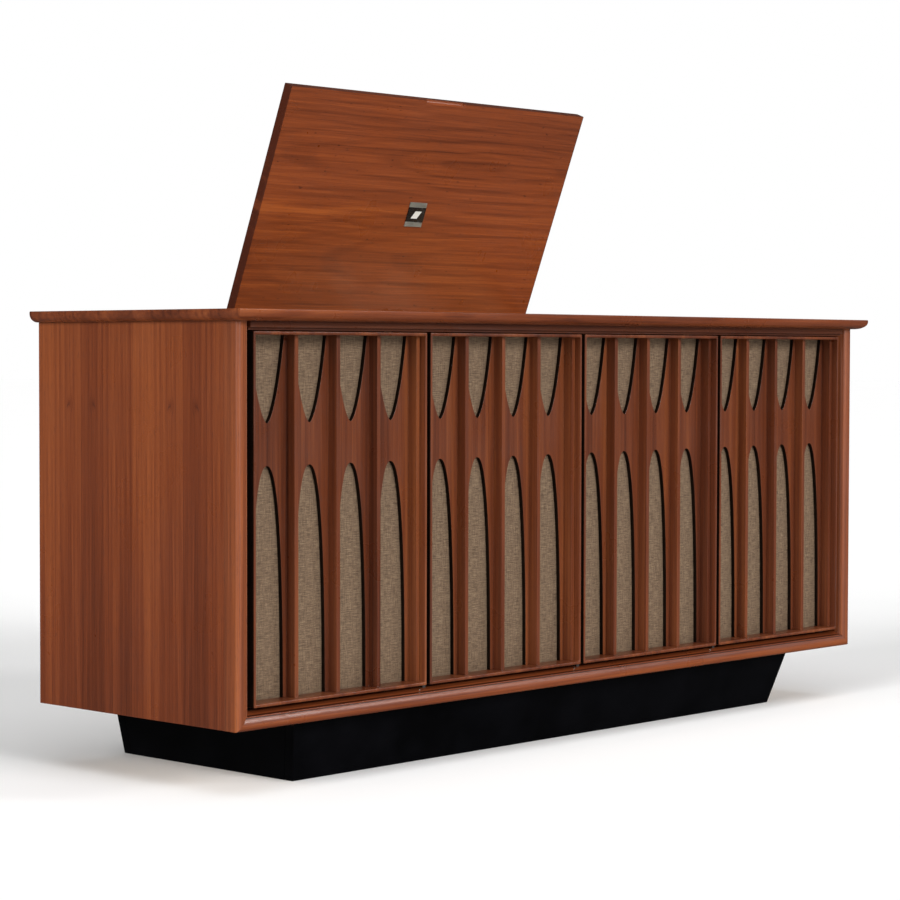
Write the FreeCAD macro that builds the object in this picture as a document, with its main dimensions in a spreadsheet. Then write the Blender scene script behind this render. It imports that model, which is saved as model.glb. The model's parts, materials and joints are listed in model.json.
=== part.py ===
import FreeCAD, Part
import math
import os
import re

import Sketcher

# Radio phonograph console, millimetres.
# +Z is up, +X runs to the right along the front, +Y runs from the front to the back.
# The origin is the middle of the footprint, on the floor.

V = FreeCAD.Vector
doc = FreeCAD.newDocument("console")
sheet = doc.addObject("Spreadsheet::Sheet", "Dims")

DIMENSIONS = {
    # cabinet
    "case_width": 1543,
    "case_depth": 458,
    "case_height": 592,
    "board": 19,
    "inner_board": 16,
    "slab_thick": 17,
    "slab_side": 18,
    "slab_front": 25,
    "slab_lip": 4,
    "post_depth": 30,
    "nose": 22,
    "ledge": 26.5,
    "rail_drop": 13,
    "rail_step": 9,
    # plinth
    "plinth_height": 98,
    "plinth_side_low": 169,
    "plinth_side_high": 145.4,
    "plinth_front_low": 65,
    "plinth_front_high": 37.5,
    "plinth_board": 18,
    # grille panels, set back from the case front
    "panel_pitch": 370,
    "panel_width": 362,
    "panel_low": 31.5,
    "panel_high": 577.5,
    "lip_width": 4,
    "lip_height": 5.3,
    "lip_face": 4,
    "rib_face": 15.5,
    "fret_face": 33,
    "fret_thick": 7,
    "rib_width": 7.6,
    "column_pitch": 86.2,
    "upper_opening": 69,
    "lower_opening": 64,
    "upper_tip": 443,
    "lower_tip": 380,
    "cloth_thick": 1.5,
    "stud": 1.6,
    "stud_in": 12,
    "mullion_width": 7,
    "mullion_face": 14,
    # lid
    "lid_centre": -49,
    "lid_width": 724,
    "lid_length": 394,
    "lid_gap": 1.5,
    "lid_open": 68.7,
    "lid_rest_gap": 0.5,
    "hinge_setback": 26,
    "hinge_rise": 3.8,
    "knuckle": 3.5,
    "pin_play": 0.05,
    "leaf_thick": 1.2,
    "scoop_width": 94,
    "scoop_depth": 7,
    "finger_dip": 13,
    "badge_drop": 192,
    "badge_width": 42,
    "pin": 1.6,
    # inside the cabinet
    "left_wall": -431,
    "right_wall": 316,
    "baffle_face": 42,
    "woofer_side": 590,
    "woofer_level": 300,
    "woofer_hole": 115,
    "tweeter_level": 520,
    "tweeter_hole": 38,
    "back_inset": 11,
    "back_thick": 5,
    "cord_way": 9,
    "deck_top": 585,
    "deck_thick": 12,
    "radio_level": 515,
    "tray_wall": 2,
    # record changer
    "spindle_across": -250,
    "spindle_back": 10,
    "spindle": 4,
    "platter": 133,
    "platter_low": 600,
    "arm_across": -80,
    "arm_back": 105,
    "arm_length": 205,
    "arm_level": 628,
    "arm_rest": 157,
    "support_across": -390,
    "support_back": 150,
    "lever_across": -75,
    "lever_back": -118,
    # radio controls
    "panel_top": 641,
    "panel_middle": 138,
    "panel_span": 342,
    "panel_reach": 372,
    "panel_front": -158,
    "knob_row": -95,
    "dial_back": 118,
    "dial_length": 272,
    "dial_depth": 64,
    "pointer_level": 632,
    "shaft": 3,
    "knob": 17,
    "knob_height": 17,
}


def fill_sheet():
    """Write every driving dimension into the sheet, with its alias."""
    for row, (alias, number) in enumerate(DIMENSIONS.items(), start=1):
        sheet.set("A%d" % row, alias)
        sheet.set("B%d" % row, str(number))
        sheet.setAlias("B%d" % row, alias)
    doc.recompute()


fill_sheet()

FRONT = "(slab_front - case_depth) / 2"
BACK = "(slab_front + case_depth) / 2"
LEFT = "-case_width / 2"
RIGHT = "case_width / 2"
BASE = "plinth_height"
TOP = "(plinth_height + case_height)"
SLAB_TOP = "(plinth_height + case_height + slab_thick)"
HINGE_Y = "((slab_front + case_depth) / 2 - hinge_setback)"
HINGE_Z = "(plinth_height + case_height + slab_thick + hinge_rise)"
LID_LEFT = "(lid_centre - lid_width / 2)"
PANEL_LEFT = "(panel_middle - panel_span / 2)"

ALONG_X = V(1, 0, 0)
ALONG_Y = V(0, 1, 0)
ALONG_Z = V(0, 0, 1)
WORD = re.compile(r"[a-z][a-z_]*")
parts = {}


def formula(text):
    """Point each dimension's name in an expression at its cell."""
    return WORD.sub(lambda m: "Dims." + m.group(0) if m.group(0) in DIMENSIONS else m.group(0), text)


def value(text):
    """The number that an expression gives, for shapes that code draws."""
    return float(sheet.evalExpression(formula(text)))


def bind(thing, prop, text):
    thing.setExpression(prop, formula(text))


def place(thing, at, axis=None):
    """Bind a position to three expressions, and turn the shape's own Z to an axis."""
    if axis is not None:
        thing.Placement = FreeCAD.Placement(V(), FreeCAD.Rotation(ALONG_Z, axis))
    for letter, text in zip("xyz", at):
        bind(thing, "Placement.Base." + letter, text)
    return thing


def block(name, low, size):
    """A box from its low corner and its three sizes."""
    thing = doc.addObject("Part::Box", name)
    for prop, text in zip(("Length", "Width", "Height"), size):
        bind(thing, prop, text)
    return place(thing, low)


def rod(name, radius, height, at, axis=ALONG_Z):
    thing = doc.addObject("Part::Cylinder", name)
    bind(thing, "Radius", radius)
    bind(thing, "Height", height)
    return place(thing, at, axis)


def taper(name, radius_low, radius_high, height, at, axis=ALONG_Z):
    thing = doc.addObject("Part::Cone", name)
    bind(thing, "Radius1", radius_low)
    bind(thing, "Radius2", radius_high)
    bind(thing, "Height", height)
    return place(thing, at, axis)


def fuse(name, *things):
    thing = doc.addObject("Part::MultiFuse", name)
    thing.Shapes = list(things)
    return thing


def cut(name, base, *tools):
    thing = doc.addObject("Part::Cut", name)
    thing.Base = base
    thing.Tool = tools[0] if len(tools) == 1 else fuse(name + "_tools", *tools)
    return thing


def common(name, first, second):
    thing = doc.addObject("Part::MultiCommon", name)
    thing.Shapes = [first, second]
    return thing


def gather(name, *things):
    """Separate solids that share one node, or a copy of a solid with a place of its own."""
    thing = doc.addObject("Part::Compound", name)
    thing.Links = list(things)
    return thing


def keep(name, thing):
    """Name a finished sub-part."""
    thing.Label = name
    parts[name] = thing
    return thing


def add_outline(sketch, corners):
    """Draw a closed outline. A corner is (across, up) or (across, up, (across, up)), where the
    last pair is a point that the arc to the next corner passes through. A sketch stores every
    arc anticlockwise, so a clockwise one is joined by its ends the other way round."""
    points = [V(value(corner[0]), value(corner[1]), 0) for corner in corners]
    starts = []
    ends = []
    for index, corner in enumerate(corners):
        start = points[index]
        end = points[(index + 1) % len(points)]
        if len(corner) == 2:
            edge = Part.LineSegment(start, end)
            forwards = True
        else:
            through = V(value(corner[2][0]), value(corner[2][1]), 0)
            edge = Part.Arc(start, through, end)
            forwards = (through - start).cross(end - through).z > 0
        sketch.addGeometry(edge, False)
        starts.append(1 if forwards else 2)
        ends.append(2 if forwards else 1)
    for index in range(len(corners)):
        after = (index + 1) % len(corners)
        sketch.addConstraint(Sketcher.Constraint("Coincident", index, ends[index], after, starts[after]))
    for index, corner in enumerate(corners):
        for kind, text, number in (("DistanceX", corner[0], points[index].x),
                                   ("DistanceY", corner[1], points[index].y)):
            lock = sketch.addConstraint(Sketcher.Constraint(kind, -1, 1, index, starts[index], number))
            sketch.setExpression("Constraints[%d]" % lock, formula(text))


def body_sketch(body, name, role, corners):
    sketch = body.newObject("Sketcher::SketchObject", name)
    plane = [item for item in body.Origin.OriginFeatures if item.Role == role][0]
    sketch.AttachmentSupport = [(plane, "")]
    sketch.MapMode = "FlatFace"
    add_outline(sketch, corners)
    return sketch


def padded(name, role, corners, length):
    """A body: one outline padded to both sides of an origin plane."""
    body = doc.addObject("PartDesign::Body", name)
    sketch = body_sketch(body, name + "_outline", role, corners)
    pad = body.newObject("PartDesign::Pad", name + "_pad")
    pad.Profile = sketch
    pad.Midplane = True
    bind(pad, "Length", length)
    body.Tip = pad
    return body


def turned(name, corners):
    """A body: one (radius, height) outline turned about the vertical axis."""
    body = doc.addObject("PartDesign::Body", name)
    sketch = body_sketch(body, name + "_outline", "XZ_Plane", corners)
    turn = body.newObject("PartDesign::Revolution", name + "_turn")
    turn.Profile = sketch
    turn.ReferenceAxis = (sketch, ["V_Axis"])
    turn.Angle = 360
    body.Tip = turn
    return body


def at_angle(thing, axis, angle):
    """Turn a finished sub-part by an angle that an expression gives."""
    thing.Placement = FreeCAD.Placement(V(), FreeCAD.Rotation(axis, 10))
    bind(thing, "Placement.Rotation.Angle", angle)
    return thing


def opened(name, thing):
    """Swing a lid piece, drawn closed, about the hinge pins to the open position."""
    lid_piece = at_angle(gather(name, thing), V(-1, 0, 0), "lid_open")
    bind(lid_piece, "Placement.Base.y",
         HINGE_Y + " * (1 - cos(lid_open)) - " + HINGE_Z + " * sin(lid_open)")
    bind(lid_piece, "Placement.Base.z",
         HINGE_Z + " * (1 - cos(lid_open)) + " + HINGE_Y + " * sin(lid_open)")
    return keep(name, lid_piece)


# ---------------------------------------------------------------- cabinet

def ellipse_point(edge, inward, overhang, degrees):
    """A point on the quarter ellipse under the slab's edge; 0 is at the lip, 90 at the case."""
    across = 0.84 * (1 - math.cos(math.radians(degrees)))
    up = 1 - math.sin(math.radians(degrees))
    return ("%s %s %.4f * %s" % (edge, inward, across, overhang),
            "%s + %.4f * (slab_thick - slab_lip)" % (TOP, up))


def undercut(edge, inward, overhang, downwards=True):
    """The corners of the slab's curved under-edge, as two arcs of the quarter ellipse."""
    angles = (0, 20, 45, 68, 90) if downwards else (90, 68, 45, 20, 0)
    lip, first, middle, second, foot = [ellipse_point(edge, inward, overhang, angle) for angle in angles]
    return [lip + (first,), middle + (second,), foot]


def make_top_slab():
    """The top board: its front and side edges curve in under a short upright lip."""
    front_edge = FRONT + " - slab_front"
    left_edge = LEFT + " - slab_side"
    right_edge = RIGHT + " + slab_side"
    shoulder = SLAB_TOP + " - 1.5"
    arc_level = SLAB_TOP + " - 0.44"
    lengthwise = padded("slab_lengthwise", "YZ_Plane",
                        undercut(front_edge, "+", "slab_front") + [
                            (BACK, TOP),
                            (BACK, SLAB_TOP),
                            (front_edge + " + 1.5", SLAB_TOP, (front_edge + " + 0.44", arc_level)),
                            (front_edge, shoulder),
                        ], "case_width * 1.2")
    crosswise = padded("slab_crosswise", "XZ_Plane",
                       undercut(left_edge, "+", "slab_side")
                       + undercut(right_edge, "-", "slab_side", False) + [
                           (right_edge, shoulder, (right_edge + " - 0.44", arc_level)),
                           (right_edge + " - 1.5", SLAB_TOP),
                           (left_edge + " + 1.5", SLAB_TOP, (left_edge + " + 0.44", arc_level)),
                           (left_edge, shoulder),
                       ], "case_depth * 2")
    lid_hole = block("lid_hole",
                     (LID_LEFT + " - lid_gap", HINGE_Y + " - lid_length - lid_gap", TOP + " - 1"),
                     ("lid_width + 2 * lid_gap", "lid_length + 2 * lid_gap", "slab_thick + 2"))
    finger_dip = rod("finger_dip", "finger_dip", "scoop_width",
                     ("lid_centre - scoop_width / 2", HINGE_Y + " - lid_length - lid_gap", SLAB_TOP), ALONG_X)
    keep("top_slab", cut("top_slab", common("slab_edges", lengthwise, crosswise), lid_hole, finger_dip))


def make_side_panels():
    for name, low in (("left_side_panel", LEFT), ("right_side_panel", RIGHT + " - board")):
        keep(name, block(name, (low, FRONT + " + post_depth", BASE),
                         ("board", "case_depth - post_depth", "case_height")))


def nose_profile(outer, inward, depth_base, depth_sign):
    """The moulding of the front frame: a rounded nose, a thin bead, and a ledge that slopes back.
    Corners are (distance from the outer edge, depth behind the case front)."""
    def point(across, depth):
        return ("%s %s (%s)" % (outer, inward, across), "%s %s (%s)" % (depth_base, depth_sign, depth))

    def arc(across, depth, through_across, through_depth):
        return point(across, depth) + (point(through_across, through_depth),)

    return [
        point("0", "post_depth"),
        arc("0", "6", "2", "1.7"),
        arc("7.5", "0", "nose - 9", "1"),
        arc("nose - 3.5", "3.5", "nose - 2.2", "2.9"),
        point("nose - 1", "4.5"),
        point("nose - 0.5", "7"),
        point("nose + 0.5", "8"),
        point("ledge", "15"),
        point("ledge", "post_depth"),
    ]


def turned_corner(across, up, through=None):
    """An outline corner with its two directions exchanged."""
    return (up, across) if through is None else (up, across, (through[1], through[0]))


def make_front_frame():
    """Corner posts and bottom rail share one moulding and meet in mitres."""
    rail = padded("rail_length", "YZ_Plane",
                  [turned_corner(*corner) for corner in nose_profile(BASE, "+", FRONT, "+")],
                  "case_width")
    for side, outer, inward in (("left", LEFT, "+"), ("right", RIGHT, "-")):
        post = padded(side + "_post_length", "XY_Plane", nose_profile(outer, inward, FRONT, "+"),
                      "2 * " + TOP)
        tall = block(side + "_post_zone", (LEFT + " - 10", FRONT + " - 10", BASE),
                     ("case_width + 20", "post_depth + 20", "case_height"))
        whole = common(side + "_post_square", post, tall)
        keep(side + "_corner_post", cut(side + "_corner_post", whole, mitre(side, outer, inward)))
    ends = [common(side + "_rail_end", rail, mitre(side + "_rail", outer, inward))
            for side, outer, inward in (("left", LEFT, "+"), ("right", RIGHT, "-"))]
    middle = block("rail_middle_zone", (LEFT + " + ledge", FRONT + " - 10", BASE + " - 10"),
                   ("case_width - 2 * ledge", "post_depth + 20", "ledge + 20"))
    keep("bottom_front_rail", fuse("bottom_front_rail", common("rail_middle", rail, middle), *ends))
    upper = block("top_rail_upper", (LEFT + " + ledge", FRONT + " + 2", TOP + " - rail_step"),
                  ("case_width - 2 * ledge", "post_depth - 2", "rail_step"))
    lower = block("top_rail_lower", (LEFT + " + ledge", FRONT + " + 7", TOP + " - rail_drop"),
                  ("case_width - 2 * ledge", "post_depth - 7", "rail_drop - rail_step"))
    keep("top_front_rail", fuse("top_front_rail", upper, lower))


def mitre(name, outer, inward):
    """The wedge below a corner's 45 degree mitre, as wide as the moulding."""
    return padded(name + "_mitre", "XZ_Plane", [
        (outer, BASE),
        (outer + " " + inward + " ledge", BASE),
        (outer + " " + inward + " ledge", BASE + " + ledge"),
    ], "case_depth * 2")


def make_inner_walls():
    wall_depth = "case_depth - baffle_face - back_inset"
    wall_low = BASE + " + inner_board"
    wall_height = "case_height - inner_board"
    keep("cabinet_floor", block("cabinet_floor", (LEFT + " + board", FRONT + " + post_depth", BASE),
                                ("case_width - 2 * board", "case_depth - post_depth - back_inset",
                                 "inner_board")))
    for name, low in (("left_partition", "left_wall"), ("right_partition", "right_wall")):
        keep(name, block(name, (low, FRONT + " + baffle_face", wall_low),
                         ("inner_board", wall_depth, wall_height)))


def make_mullions():
    """Thin uprights in the gaps between the grille panels, cut to stand on the sloping ledge."""
    uprights = []
    for index in (-1, 0, 1):
        across = "panel_pitch * %d - mullion_width / 2" % index
        upright = block("mullion_blank", (across, FRONT + " + mullion_face", BASE + " + nose"),
                        ("mullion_width", "baffle_face - mullion_face", "case_height - nose - rail_drop"))
        uprights.append(cut("mullion", upright, parts["bottom_front_rail"]))
    keep("front_mullions", gather("front_mullions", *uprights))


def make_grille_studs():
    """Small locating studs on the ledge, beside each mullion."""
    studs = []
    for index in (-1, 0, 1):
        across = "panel_pitch * %d - stud_in" % index
        back = FRONT + " + stud_in"
        shank = rod("stud_shank", "stud", "3.6", (across, back, BASE + " + nose"))
        crown = taper("stud_crown", "stud", "stud - 0.7", "0.9", (across, back, BASE + " + nose + 3.6"))
        studs.append(fuse("stud", shank, crown))
    keep("grille_studs", gather("grille_studs", *studs))


def make_back_panel():
    """Thin hardboard back, let in between the sides, with rows of vent slots."""
    sheet_low = BACK + " - back_inset"
    plain = block("back_sheet", (LEFT + " + board", sheet_low, BASE),
                  ("case_width - 2 * board", "back_thick", "case_height"))
    slots = []
    for column in (-590, -65, 530):
        for row in range(7):
            level = BASE + " + 150 + %d" % (row * 48)
            slots.append(block("vent", ("%d - 110" % column, sheet_low + " - 1", level),
                               ("220", "back_thick + 2", "9")))
    cord_across = "right_wall - 60"
    cord_level = BASE + " + 60"
    cord_hole = rod("cord_hole", "cord_way", "back_thick + 2", (cord_across, sheet_low + " - 1", cord_level),
                    ALONG_Y)
    keep("back_panel", cut("back_panel", plain, cord_hole, *slots))
    collar = rod("grommet_collar", "cord_way + 4", "2.5",
                 (cord_across, sheet_low + " + back_thick", cord_level), ALONG_Y)
    neck = rod("grommet_neck", "cord_way", "back_thick", (cord_across, sheet_low, cord_level), ALONG_Y)
    bore = rod("grommet_bore", "cord_way - 5", "30", (cord_across, sheet_low + " - 10", cord_level), ALONG_Y)
    keep("mains_cord_grommet", cut("mains_cord_grommet", fuse("grommet_solid", collar, neck), bore))


def make_back_screws():
    """Pan-head screws through the back panel into the floor's and partitions' edges."""
    spots = [("%d" % across, BASE + " + inner_board / 2") for across in (-700, -350, 0, 350, 700)]
    for wall in ("left_wall", "right_wall"):
        for level in (220, 400, 560):
            spots.append((wall + " + inner_board / 2", BASE + " + %d" % level))
    screws = []
    for across, level in spots:
        head = rod("screw_head", "4", "2.2", (across, BACK + " - back_inset + back_thick", level), ALONG_Y)
        shank = rod("screw_shank", "1.7", "22 + back_thick", (across, BACK + " - back_inset - 22", level),
                    ALONG_Y)
        screws.append(fuse("screw", head, shank))
    keep("back_panel_screws", gather("back_panel_screws", *screws))


def plinth_solid(name, side_in, front_in, back_in):
    """The plinth's flared outside, moved in at the sides, front and back."""
    thing = doc.addObject("Part::Wedge", name)
    width_low = "case_width / 2 - plinth_side_low - (" + side_in + ")"
    width_high = "case_width / 2 - plinth_side_high - (" + side_in + ")"
    front_low = "-(" + FRONT + " + plinth_front_low + (" + front_in + "))"
    front_high = "-(" + FRONT + " + plinth_front_high + (" + front_in + "))"
    rear = "-(" + BACK + " - (" + back_in + "))"
    for prop, text in (("Xmin", "-(" + width_low + ")"), ("Xmax", width_low),
                       ("X2min", "-(" + width_high + ")"), ("X2max", width_high),
                       ("Ymin", "0"), ("Ymax", "plinth_height"),
                       ("Zmin", rear), ("Zmax", front_low),
                       ("Z2min", rear), ("Z2max", front_high)):
        bind(thing, prop, text)
    thing.Placement = FreeCAD.Placement(V(), FreeCAD.Rotation(ALONG_X, 90))
    return thing


def make_plinth():
    """Four boards that lean out towards the cabinet; the back board stands upright."""
    outside = plinth_solid("plinth_outside", "0", "0", "0")
    behind_front = plinth_solid("plinth_behind_front", "-50", "plinth_board", "-50")
    before_back = plinth_solid("plinth_before_back", "-50", "-50", "plinth_board")
    between_ends = plinth_solid("plinth_between_ends", "plinth_board", "-50", "-50")
    keep("plinth_front", cut("plinth_front", outside, behind_front))
    keep("plinth_back", cut("plinth_back", outside, before_back))
    middle = common("plinth_middle", common("plinth_no_front", outside, behind_front), before_back)
    keep("plinth_ends", cut("plinth_ends", middle, between_ends))


# ---------------------------------------------------------------- grille panels

def leaf_tool(name, width, tip, end, shoulder, flank):
    """A cutter for one pointed opening: two curves that run from the tip to full width."""
    half = value(width) / 2
    tip_z = value(tip)
    end_z = value(end)
    side = 1 if end_z > tip_z else -1
    depth = value(FRONT + " + fret_face") - 1
    outline = []
    for hand in (-1, 1):
        curve = Part.BezierCurve()
        curve.setPoles([V(0, depth, tip_z), V(hand * shoulder, depth, tip_z),
                        V(hand * flank[0], depth, tip_z + side * flank[1]), V(hand * half, depth, end_z)])
        outline.append(curve.toShape())
    outline.append(Part.makeLine(V(-half, depth, end_z), V(half, depth, end_z)))
    face = Part.Face(Part.Wire(Part.__sortEdges__(outline)))
    thing = doc.addObject("Part::Feature", name)
    thing.Shape = face.extrude(V(0, value("fret_thick") + 2, 0))
    return thing


def make_fret_master():
    """The fret board of one panel, in the middle of the cabinet, with its five ribs."""
    inside = "(panel_width / 2 - lip_width)"
    low = "(" + BASE + " + panel_low + lip_height)"
    height = "(panel_high - panel_low - 2 * lip_height)"
    plain = block("fret_board", ("-" + inside, FRONT + " + fret_face", low),
                  ("2 * " + inside, "fret_thick", height))
    upper = leaf_tool("upper_leaf", "upper_opening", BASE + " + upper_tip",
                      low + " + " + height + " + 1", 6, (22, 30))
    lower = leaf_tool("lower_leaf", "lower_opening", BASE + " + lower_tip", low + " - 1", 14, (32, 40))
    openings = []
    for column in (-1.5, -0.5, 0.5, 1.5):
        for leaf in (upper, lower):
            opening = gather("opening", leaf)
            bind(opening, "Placement.Base.x", "column_pitch * %.1f" % column)
            openings.append(opening)
    board = cut("fret_pierced", plain, *openings)
    ribs = []
    for line in (-2, -1, 0, 1, 2):
        rib = block("rib", ("column_pitch * %d - rib_width / 2" % line, FRONT + " + rib_face", low),
                    ("rib_width", "fret_face - rib_face", height))
        ribs.append(rib)
    return fuse("fret_master", board, *ribs)


def make_frame_master():
    """The thin proud frame round one panel."""
    outer = block("frame_outer", ("-panel_width / 2", FRONT + " + lip_face", BASE + " + panel_low"),
                  ("panel_width", "fret_face + fret_thick - lip_face", "panel_high - panel_low"))
    inner = block("frame_inner",
                  ("lip_width - panel_width / 2", FRONT, BASE + " + panel_low + lip_height"),
                  ("panel_width - 2 * lip_width", "case_depth", "panel_high - panel_low - 2 * lip_height"))
    return cut("frame_master", outer, inner)


def make_cloth_master():
    """Grille cloth stretched over the back of one panel."""
    return block("cloth_master",
                 ("-panel_width / 2", FRONT + " + fret_face + fret_thick", BASE + " + panel_low"),
                 ("panel_width", "cloth_thick", "panel_high - panel_low"))


def make_grille_panels():
    masters = {"frame": make_frame_master(), "fret": make_fret_master(), "cloth": make_cloth_master()}
    for number in range(1, 5):
        for kind, master in masters.items():
            name = "grille_%s_%d" % (kind, number)
            panel = keep(name, gather(name, master))
            bind(panel, "Placement.Base.x", "panel_pitch * (%d - 2.5)" % number)


# ---------------------------------------------------------------- speakers and chassis

def make_speakers():
    face = FRONT + " + baffle_face"
    walls = (("left", LEFT + " + board", "left_wall - (" + LEFT + " + board)", "-woofer_side"),
             ("right", "right_wall + inner_board", RIGHT + " - board - right_wall - inner_board",
              "woofer_side"))
    baffles = []
    woofers = []
    tweeters = []
    for side, low, width, middle in walls:
        plain = block(side + "_baffle_plain", (low, face, BASE + " + inner_board"),
                      (width, "inner_board", "case_height - inner_board"))
        big = rod(side + "_woofer_hole", "woofer_hole", "inner_board + 2",
                  (middle, face + " - 1", BASE + " + woofer_level"), ALONG_Y)
        small = rod(side + "_tweeter_hole", "tweeter_hole", "inner_board + 2",
                    (middle, face + " - 1", BASE + " + tweeter_level"), ALONG_Y)
        baffles.append(cut(side + "_baffle", plain, big, small))
        back = face + " + inner_board"
        woofers.append(loudspeaker(side + "_woofer", middle, back, BASE + " + woofer_level",
                                   "woofer_hole", 12, 92))
        tweeters.append(loudspeaker(side + "_tweeter", middle, back, BASE + " + tweeter_level",
                                    "tweeter_hole", 8, 40))
    centre = block("centre_board", ("left_wall + inner_board", face, BASE + " + inner_board"),
                   ("right_wall - left_wall - inner_board", "inner_board",
                    "case_height - inner_board - lid_rest_gap"))
    keep("speaker_baffles", gather("speaker_baffles", *baffles, centre))
    keep("woofers", gather("woofers", *woofers))
    keep("tweeters", gather("tweeters", *tweeters))


def loudspeaker(name, across, back, level, hole, rim, depth):
    """Mounting ring, thin cone and magnet in one turned body, facing the front."""
    throat = "%d * 0.45" % depth
    unit = turned(name, [
        (hole + " - 6", "0"),
        (hole + " + %d" % rim, "0"),
        (hole + " + %d" % rim, "4"),
        (hole + " - 2", "4"),
        (hole + " * 0.28", throat + " + 4"),
        (hole + " * 0.28", "%d * 0.65" % depth),
        (hole + " * 0.42", "%d * 0.65" % depth),
        (hole + " * 0.42", "%d" % depth),
        ("0", "%d" % depth),
        ("0", throat),
        (hole + " * 0.22", throat),
    ])
    return place(unit, (across, back, level), ALONG_Y)


def chassis_tray(name, low, size):
    """A pressed tray, open underneath."""
    across, back, level = low
    width, depth, height = size
    outer = block(name + "_outer", low, size)
    inner = block(name + "_inner", (across + " + tray_wall", back + " + tray_wall", level + " - 1"),
                  (width + " - 2 * tray_wall", depth + " - 2 * tray_wall", height + " + 1 - tray_wall"))
    return cut(name, outer, inner)


def make_radio_chassis():
    """Tray with coil cans and a tuning gang, hung under the deck on two brackets."""
    tray = chassis_tray("radio_tray", ("10", "-60", "radio_level - 45"), ("230", "190", "45"))
    cans = [rod("radio_can", "11", "50", ("%d" % across, "%d" % back, "radio_level"))
            for across in (40, 85, 130, 175) for back in (-25, 35)]
    gang = block("tuning_gang", ("150", "60", "radio_level"), ("60", "45", "38"))
    hang = "deck_top - deck_thick - radio_level"
    hangers = [block("radio_bracket", (low, "-60", "radio_level"), ("10", "20", hang))
               for low in ("10", "230")]
    keep("radio_chassis", fuse("radio_chassis", tray, gang, *cans, *hangers))


def make_amplifier_chassis():
    """Tray with three transformers and a row of valves, on the cabinet floor."""
    floor = BASE + " + inner_board"
    deck = floor + " + 55"
    tray = chassis_tray("amplifier_tray", ("-150", "-40", floor), ("300", "170", "55"))
    iron = [block("transformer", ("%d" % low, "55", deck), ("70", "60", "70")) for low in (-140, -60, 50)]
    valves = [rod("valve", "9", "65", ("%d" % across, "5", deck))
              for across in (-120, -70, -20, 30, 80, 125)]
    keep("amplifier_chassis", fuse("amplifier_chassis", tray, *iron, *valves))


# ---------------------------------------------------------------- deck and record changer

DECK_LEFT = "(left_wall + inner_board)"
DECK_FRONT = "(" + FRONT + " + baffle_face + inner_board)"


def make_motor_board():
    width = "right_wall - " + DECK_LEFT
    depth = BACK + " - back_inset - " + DECK_FRONT
    plain = block("deck_plain", (DECK_LEFT, DECK_FRONT, "deck_top - deck_thick"),
                  (width, depth, "deck_thick"))
    well = block("changer_well", ("spindle_across - 70", "spindle_back - 70", "deck_top - 20"),
                 ("140", "140", "40"))
    shafts = [rod("shaft_way", "shaft + 5", "40", (across, back, "deck_top - 20"))
              for _, across, back, _ in KNOBS]
    keep("motor_board", cut("motor_board", plain, well, *shafts))


KNOBS = (
    ("volume_knob", "panel_middle - 108", "knob_row", "knob"),
    ("balance_knob", "panel_middle - 36", "knob_row", "knob"),
    ("bass_knob", "panel_middle + 36", "knob_row", "knob"),
    ("treble_knob", "panel_middle + 108", "knob_row", "knob"),
    ("selector_knob", "panel_middle - 72", "knob_row + 92", "knob * 1.2"),
    ("tuning_knob", "panel_middle + 72", "knob_row + 92", "knob * 1.45"),
)


def make_knobs():
    """Skirted knobs on plain shafts that run through the control panel."""
    for name, across, back, radius in KNOBS:
        knob = turned(name, [
            ("0", "-80"),
            ("shaft", "-80"),
            ("shaft", "1"),
            (radius + " + 3", "1"),
            (radius + " + 3", "2.5"),
            (radius, "4"),
            (radius + " - 1", "knob_height - 1"),
            (radius + " - 2.5", "knob_height"),
            (radius + " - 5", "knob_height - 0.8"),
            ("0", "knob_height - 0.8"),
        ])
        keep(name, place(knob, (across, back, "panel_top")))


def make_control_panel():
    """A shallow metal cover over the radio side of the well, with its dial window."""
    low = (PANEL_LEFT, "panel_front", "deck_top")
    outer = block("cover_outer", low, ("panel_span", "panel_reach", "panel_top - deck_top"))
    inner = block("cover_inner", (PANEL_LEFT + " + 2", "panel_front + 2", "deck_top - 1"),
                  ("panel_span - 4", "panel_reach - 4", "panel_top - deck_top - 1"))
    window = block("dial_window", ("panel_middle - dial_length / 2", "dial_back - dial_depth / 2",
                                   "panel_top - 10"), ("dial_length", "dial_depth", "20"))
    holes = [rod("shaft_hole", "shaft + pin_play", "20", (across, back, "panel_top - 10"))
             for _, across, back, _ in KNOBS]
    keep("control_panel", cut("control_panel", outer, inner, window, *holes))
    keep("dial_glass", block("dial_glass", ("panel_middle - dial_length / 2", "dial_back - dial_depth / 2",
                                            "panel_top - 3"), ("dial_length", "dial_depth", "3")))
    scale = block("scale_plate", ("panel_middle - dial_length / 2", "dial_back - dial_depth / 2",
                                  "pointer_level - 5"), ("dial_length", "dial_depth", "2"))
    feet = [block("scale_foot", ("panel_middle + %d" % across, "dial_back - 4", "deck_top"),
                  ("8", "8", "pointer_level - 5 - deck_top")) for across in (-120, 112)]
    keep("dial_scale", fuse("dial_scale", scale, *feet))
    needle = block("needle", ("panel_middle - 0.8", "dial_back - dial_depth / 2 + 4", "pointer_level"),
                   ("1.6", "dial_depth - 8", "1.2"))
    carriage = block("carriage",
                     ("panel_middle - 6", "dial_back - dial_depth / 2 + 1", "pointer_level - 2"),
                     ("12", "6", "3.2"))
    keep("dial_pointer", fuse("dial_pointer", needle, carriage))


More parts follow.
